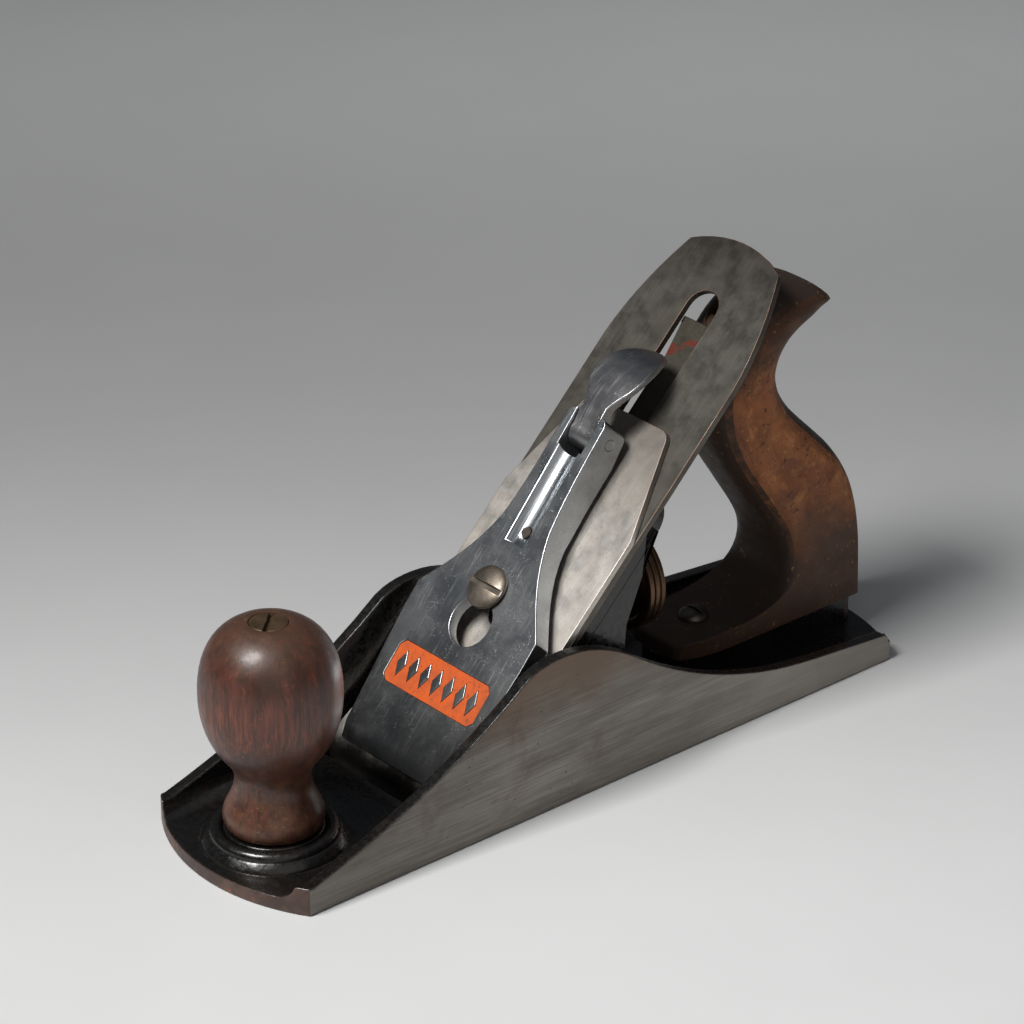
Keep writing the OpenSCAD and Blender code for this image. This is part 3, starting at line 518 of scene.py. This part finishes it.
def lathe(profile, centre, count):
    """Rings for a profile of (radius, height) points turned round a vertical axis."""
    step = 2 * math.pi / count
    return [[(centre[0] + r * math.cos(i * step), centre[1] + r * math.sin(i * step),
              centre[2] + z) for i in range(count)] for r, z in profile]


# ------------------------------------------------------------------ handles


def make_knob():
    """The turned knob, with a well in its top for the nut."""
    nut_r, top = 5.18, 59.5
    curves = (((11.4, 0), (13, 0.2), (13.9, 3), (13.1, 5.4)),
              ((13.1, 5.4), (12.4, 7.6), (10, 10.5), (10, 14.6)),
              ((10, 14.6), (10, 19), (13.2, 20.6), (15.6, 25.2)),
              ((15.6, 25.2), (17.6, 29), (18.8, 34), (18.8, 39.2)),
              ((18.8, 39.2), (18.8, 50.6), (14.6, 57.6), (nut_r + 0.5, top)))
    samples = 14
    profile = [along(curves, i / samples) for i in range(len(curves) * samples + 1)]
    profile += [(nut_r + 0.15, top - 0.12), (nut_r, top - 0.5), (nut_r, top - 6.4)]
    bm = bmesh.new()
    add_rings(bm, lathe(profile, KNOB_SEAT, 144))
    new_piece("knob_turned", bm, "knob", [MATERIALS["stained_beech_knob"]], weighted=False)


# the tote's side outline, as curves of (y, z) points from the foot up to the horn's tip
TOTE_FRONT = (((43.6, 11.85), (43.5, 13), (43.5, 14.4), (43.7, 15.4)),
              ((43.7, 15.4), (44.4, 17.3), (51, 17.2), (61, 17.3)),
              ((61, 17.3), (74, 17.6), (83.5, 20), (83.6, 30)),
              ((83.6, 30), (83.7, 38), (76, 46), (70, 55)),
              ((70, 55), (62, 66), (57.6, 74), (57.6, 84)),
              ((57.6, 84), (57.6, 98), (66, 110), (81, 112.4)),
              ((81, 112.4), (88, 113.2), (96.6, 112.4), (97.2, 106)))
TOTE_REAR = (((111, 11.85), (111, 36), (110.5, 48), (100.5, 61)),
             ((100.5, 61), (93, 70), (80.8, 78), (80.8, 89)),
             ((80.8, 89), (81, 98), (91, 99.6), (95.2, 102.8)),
             ((95.2, 102.8), (96.4, 103.6), (97.1, 104.8), (97.2, 106)))
# where the rear curve has got to as the front curve passes 0, 1, 2 ...
TOTE_MATCH = ((0, 0), (1, 0.07), (2, 0.14), (3, 0.5), (4, 1.15), (5, 2.0), (6, 2.8), (7, 3.9))
# how rounded the corners are on the way up, and how the foot narrows towards the toe
TOTE_FRONT_ROUND = ((0, 1.2), (2, 2.0), (2.6, 4), (3.2, 7), (4, 9.5), (5, 10.5), (7, 10.5))
TOTE_REAR_ROUND = ((0, 1.4), (0.3, 2.2), (0.7, 4.5), (1.1, 8), (2, 10.5), (4, 10.5))
TOTE_HALF = ((40, 7.2), (43.6, 8.4), (46, 10.4), (52, 12.3), (61, 13))


def tote_ring(position, corner=7, along_side=12):
    """Rounded rectangle between the tote's front and rear curves."""
    rear_at = between(TOTE_MATCH, position)
    front, rear = along(TOTE_FRONT, position), along(TOTE_REAR, rear_at)
    length = max(math.dist(front, rear), 0.01)
    half = TOTE_HALF_THICKNESS - between(((6, 0), (6.6, 0.8), (7, 2.6)), position)
    front_r, rear_r = between(TOTE_FRONT_ROUND, position), between(TOTE_REAR_ROUND, rear_at)
    front_run, rear_run = min(front_r, 0.49 * length), min(rear_r, 0.49 * length)
    outline = []
    for i in range(corner + 1):
        a = math.pi / 2 * i / corner
        outline.append((half - front_r * (1 - math.sin(a)), front_run * (1 - math.cos(a))))
    for i in range(1, along_side):
        share = i / along_side
        outline.append((half, front_run + (length - front_run - rear_run) * share))
    for i in range(corner + 1):
        a = math.pi / 2 * (1 - i / corner)
        outline.append((half - rear_r * (1 - math.sin(a)),
                        length - rear_run * (1 - math.cos(a))))
    ring = []
    for x, d in outline + [(-x, d) for x, d in reversed(outline)]:
        y, z = (f + (r - f) * d / length for f, r in zip(front, rear))
        ring.append((x * between(TOTE_HALF, y) / TOTE_HALF_THICKNESS, y, z))
    return ring


def nut_bore():
    """A cylinder on the tote's rod that cuts the counterbore its nut sits in."""
    foot, lean = Vector(TOTE_ROD_FOOT), math.radians(TOTE_ROD_LEAN)
    way = Vector((0, -math.sin(lean), math.cos(lean)))
    across_way = Vector((0, way.z, -way.y))
    sides = 48
    bore = []
    for depth in NUT_BORE_SPAN:
        ring = []
        for i in range(sides):
            a = 2 * math.pi * i / sides
            ring.append(foot + way * depth + NUT_BORE_R * (Vector((math.cos(a), 0, 0))
                                                           + across_way * math.sin(a)))
        bore.append(ring)
    bm = bmesh.new()
    add_rings(bm, bore)
    bmesh.ops.recalc_face_normals(bm, faces=bm.faces)
    mesh = bpy.data.meshes.new("bore")
    bm.to_mesh(mesh)
    bm.free()
    return add_object("bore", mesh)


def make_tote():
    """The tote, with the counterbore cut into it for good."""
    # the last ring stops just short of the horn's tip, where front and rear meet
    stations, end = 110, 6.96
    rings = [tote_ring(end * i / stations) for i in range(stations + 1)]
    bm = bmesh.new()
    add_rings(bm, rings)
    tote = new_piece("tote_shaped", bm, "tote", [MATERIALS["stained_beech_tote"]], weighted=False)
    cutter = nut_bore()
    cut = tote.modifiers.new("bore", "BOOLEAN")
    cut.object = cutter
    cut.solver = "EXACT"
    shaped = bpy.data.meshes.new_from_object(
        tote.evaluated_get(bpy.context.evaluated_depsgraph_get()))
    tote.modifiers.clear()
    tote.data = shaped
    bpy.data.objects.remove(cutter)


# ------------------------------------------------------------------ pieces

lo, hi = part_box("body_casting")
# how far the toe's and heel's faces reach in from the casting's ends, and up
TOE_REACH, HEEL_REACH, END_HEIGHT = 10, 8.5, 8.5


def casting_finish(face):
    """0 japan inside, 1 ground cheeks and sole, 2 toe and heel faces, 3 the knob's seat."""
    n, c = face.normal, face.calc_center_median()
    from_knob = math.hypot(c.x, c.y - KNOB_SEAT[1] * MM)
    if from_knob < KNOB_SEAT_REACH * MM and c.z > SOLE_TOP * MM:
        return 3
    on_cheek = abs(n.x) > 0.9 and abs(c.x) > hi.x - 0.5 * MM
    on_sole = n.z < -0.9 and c.z < 0.5 * MM
    if on_cheek or on_sole:
        return 1
    at_end = c.y < lo.y + TOE_REACH * MM or c.y > hi.y - HEEL_REACH * MM
    if abs(n.z) < 0.5 and at_end and c.z < END_HEIGHT * MM:
        return 2
    return 0


softened("body_casting", "casting", 0.5,
         [MATERIALS["japanned_casting"], cheek_steel(), toe_face(),
          japanned("seat_japan", 0.2, 0.0)],
         casting_finish)
for node, width in {
    "iron": 0.18, "cap_iron": 0.2, "lever_cap": 0.3, "lever_cap_screw": 0.18, "cam_lever": 0.35,
    "knob_nut": 0.25, "tote_nut": 0.25, "tote_toe_screw": 0.2, "adjuster_wheel": 0.2,
    "adjuster_stud": 0.4, "leaf_spring": 0.12, "lateral_lever": 0.25, "frog": 0.4,
    "yoke_lever": 0.3, "frog_clip": 0.2, "cap_iron_screw": 0.25, "frog_screws": 0.3,
    "frog_adjusting_screw": 0.25, "frog_clip_screw": 0.2,
}.items():
    softened(node, node + "_finish", width)

make_knob()
make_tote()
# the CAD's own meshes, for the nodes that show as they are
for node, obj in NODES.items():
    obj.data.materials.clear()
    obj.data.materials.append(MATERIALS[SLOT_OF[node]])


# ------------------------------------------------------------------ stage, light and camera


def add_area(name, way, distance, size, power, color):
    """A square area light, distance metres from the object's middle in direction way."""
    centre = Vector((0, 0, 0.05))
    light = bpy.data.lights.new(name, "AREA")
    light.shape = "RECTANGLE"
    light.size = light.size_y = size
    light.energy = power
    light.color = color
    obj = add_object(name, light)
    obj.location = centre + distance * way.normalized()
    aim(obj, centre - obj.location)


def floor_material():
    """Pale floor with painted light falloff: light in front of the object, grey behind it, paler
    far off, lighter towards the right.
    """
    g = Graph("floor_painted_light", specular=0.2)
    x, y = g.axis("X"), g.axis("Y")
    away = g.calc("ADD", g.calc("MULTIPLY", x, -0.758), g.calc("MULTIPLY", y, 0.652))
    right = g.calc("ADD", g.calc("MULTIPLY", x, 0.652), g.calc("MULTIPLY", y, 0.758))
    # painted light: the floor's colour is brightest in front and to the right and falls off to grey
    # behind, a light falloff painted in
    painted_light_tone = g.calc("ADD", g.step(away, -110, 230, 1.25, 0.74), g.step(away, 280, 560, 0.0, 0.34))
    painted_light_tone = g.calc("MULTIPLY", painted_light_tone, g.step(right, -260, 220, 0.84, 1.14))
    painted_light_tone = g.calc("MULTIPLY", painted_light_tone, g.step(g.noise(60, 3), 0.3, 0.7, 0.99, 1.01))
    color = g.mix(g.calc("MULTIPLY", painted_light_tone, 0.6), (0, 0, 0), (0.985, 1.0, 1.005))
    return g.finish(color, 0.7, g.bump(g.noise(0.8, 3), 0.02, 0.3))


def make_stage():
    """Floor, world and the two lights."""
    # the floor lies a hair below the sole, so that the two flat faces never coincide; it
    # reaches half its width, in metres, each way
    half, gap = 4.0, 0.1 * MM
    mesh = bpy.data.meshes.new("floor")
    mesh.from_pydata([(-half, -half, -gap), (half, -half, -gap), (half, half, -gap),
                      (-half, half, -gap)], [], [(0, 1, 2, 3)])
    mesh.materials.append(floor_material())
    floor = add_object("floor", mesh)

    world = bpy.data.worlds.new("studio")
    world.use_nodes = True
    bpy.context.scene.world = world
    tree = world.node_tree
    coord = tree.nodes.new("ShaderNodeTexCoord")
    split = tree.nodes.new("ShaderNodeSeparateXYZ")
    ramp = tree.nodes.new("ShaderNodeValToRGB")
    tree.links.new(coord.outputs["Generated"], split.inputs[0])
    tree.links.new(split.outputs["Z"], ramp.inputs["Fac"])
    tree.links.new(ramp.outputs["Color"], tree.nodes["Background"].inputs["Color"])
    stops = ramp.color_ramp.elements
    stops[0].position, stops[0].color = 0.0, (0.30, 0.31, 0.32, 1)
    stops[1].position, stops[1].color = 1.0, (0.5, 0.52, 0.55, 1)
    for position, color in ((0.25, (0.12, 0.125, 0.14, 1)), (0.6, (0.09, 0.1, 0.12, 1)),
                            (0.85, (0.3, 0.32, 0.35, 1))):
        stop = stops.new(position)
        stop.color = color
    tree.nodes["Background"].inputs["Strength"].default_value = 0.35

    add_area("key", Vector((-0.02, -0.57, 0.82)), 0.95, 0.34, 9.5, (1.0, 0.985, 0.96))
    add_area("fill", Vector((0.95, -0.42, 0.6)), 1.6, 1.5, 2.6, (1.0, 0.98, 0.95))


def make_camera():
    """The main view: 49.3 degrees round from the toe towards +X, 26.9 degrees up."""
    azimuth, elevation = math.radians(49.33), math.radians(26.93)
    distance, lens = 1185.21 * MM, 151.3
    look_at = Vector((-32.30, 19.44, 50.19)) * MM
    back = Vector((math.sin(azimuth) * math.cos(elevation),
                   -math.cos(azimuth) * math.cos(elevation), math.sin(elevation)))
    data = bpy.data.cameras.new("camera")
    data.lens, data.sensor_width = lens, 36
    data.clip_start, data.clip_end = 0.01, 50
    camera = add_object("camera", data)
    camera.location = look_at + distance * back
    aim(camera, -back)
    bpy.context.scene.camera = camera


make_stage()
make_camera()
bpy.context.scene.view_settings.view_transform = "Standard"

bpy.context.view_layer.update()
